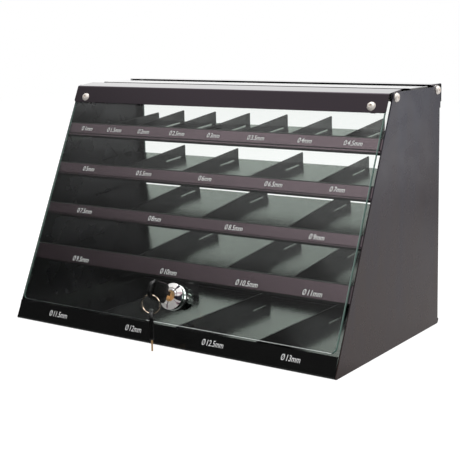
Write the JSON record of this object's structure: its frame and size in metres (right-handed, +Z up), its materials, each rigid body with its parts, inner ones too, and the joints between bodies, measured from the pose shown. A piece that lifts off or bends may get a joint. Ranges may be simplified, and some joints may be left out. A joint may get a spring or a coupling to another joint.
{
  "type": "drill bit storage cabinet",
  "caption": "Bench-top drill bit cabinet with sloping divided shelves between side panels, a lockable leaning glass flap at the front and a glass flap at the back.",
  "frame": {"origin": "middle of the underside, halfway between the side panels and halfway along their depth", "axes": "+X to the cabinet's right as seen from the front, +Y to the rear, +Z up"},
  "size_m": [0.4258, 0.2744, 0.2646],
  "materials": {
    "cabinet_paint": "satin dark grey powder coat",
    "rail_paint": "satin brown-black powder coat",
    "clear_glass": "clear glass with ground edges, slightly green",
    "black_rubber": "matt",
    "white_plastic": "natural nylon",
    "plated_steel": "bright zinc plating",
    "lock_chrome": "polished",
    "key_brass": "satin",
    "black_plastic": "satin moulded",
    "ring_steel": "warm-toned plated wire"
  },
  "bodies": {
    "cabinet": {"side_panel_left": "cabinet_paint", "side_panel_right": "cabinet_paint", "base_tray": "cabinet_paint", "shelf_1": "cabinet_paint", "shelf_2": "cabinet_paint", "shelf_3": "cabinet_paint", "shelf_4": "cabinet_paint", "top_plate": "cabinet_paint", "lock_keeper": "cabinet_paint", "front_pivot_washers": "white_plastic", "rear_pivot_washers": "white_plastic", "divider_1_1": "cabinet_paint", "divider_1_2": "cabinet_paint", "divider_1_3": "cabinet_paint", "divider_1_4": "cabinet_paint", "divider_1_5": "cabinet_paint", "divider_1_6": "cabinet_paint", "divider_1_7": "cabinet_paint", "divider_2_1": "cabinet_paint", "divider_2_2": "cabinet_paint", "divider_2_3": "cabinet_paint", "divider_2_4": "cabinet_paint", "divider_3_1": "cabinet_paint", "divider_3_2": "cabinet_paint", "divider_3_3": "cabinet_paint", "divider_4_1": "cabinet_paint", "divider_4_2": "cabinet_paint", "divider_4_3": "cabinet_paint", "divider_5_1": "cabinet_paint", "divider_5_2": "cabinet_paint", "divider_5_3": "cabinet_paint"},
    "front_flap": {"front_rail": "rail_paint", "front_glass": "clear_glass", "front_glass_screws": "plated_steel", "front_glass_washers": "black_rubber", "front_glass_nuts": "plated_steel", "front_pivot_screws": "plated_steel", "front_pivot_nuts": "plated_steel", "lock_body": "lock_chrome", "lock_gasket": "black_rubber", "lock_nut": "lock_chrome"},
    "rear_flap": {"rear_rail": "rail_paint", "rear_glass": "clear_glass", "rear_glass_screws": "plated_steel", "rear_glass_washers": "black_rubber", "rear_glass_nuts": "plated_steel", "rear_pivot_screws": "plated_steel", "rear_pivot_nuts": "plated_steel"},
    "lock_barrel": {"lock_plug": "key_brass", "lock_cam": "plated_steel", "cam_screw": "plated_steel"},
    "key": {"key_blade": "key_brass", "key_bow": "black_plastic"},
    "ring": {"key_ring": "ring_steel"},
    "spare_key": {"spare_key_blade": "key_brass", "spare_key_bow": "black_plastic"}
  },
  "joints": [
    {"name": "front_flap_hinge", "type": "hinge", "parent": "cabinet", "child": "front_flap", "pos_m": [0, 0.01003, 0.2568], "axis": [-1, 0, 0], "range_deg": [0, 150]},
    {"name": "rear_flap_hinge", "type": "hinge", "parent": "cabinet", "child": "rear_flap", "pos_m": [0, 0.10875, 0.2582], "axis": [1, 0, 0], "range_deg": [0, 170]},
    {"name": "lock_turn", "type": "hinge", "parent": "front_flap", "child": "lock_barrel", "pos_m": [0.009, -0.09668, 0.04862], "axis": [0, 0.9085, -0.4179], "range_deg": [0, 90]},
    {"name": "key_pull", "type": "slide", "parent": "lock_barrel", "child": "key", "axis": [0, -0.9085, 0.4179], "range_m": [0, 0.02]},
    {"name": "ring_swing", "type": "hinge", "parent": "key", "child": "ring", "pos_m": [0.009, -0.13828, 0.06118], "axis": [0.9563, 0.2924, 0], "range_deg": [-40, 10]},
    {"name": "spare_key_swing", "type": "hinge", "parent": "ring", "child": "spare_key", "pos_m": [0.009, -0.13828, 0.04168], "axis": [0.9563, 0.2924, 0], "range_deg": [-30, 10]}
  ]
}
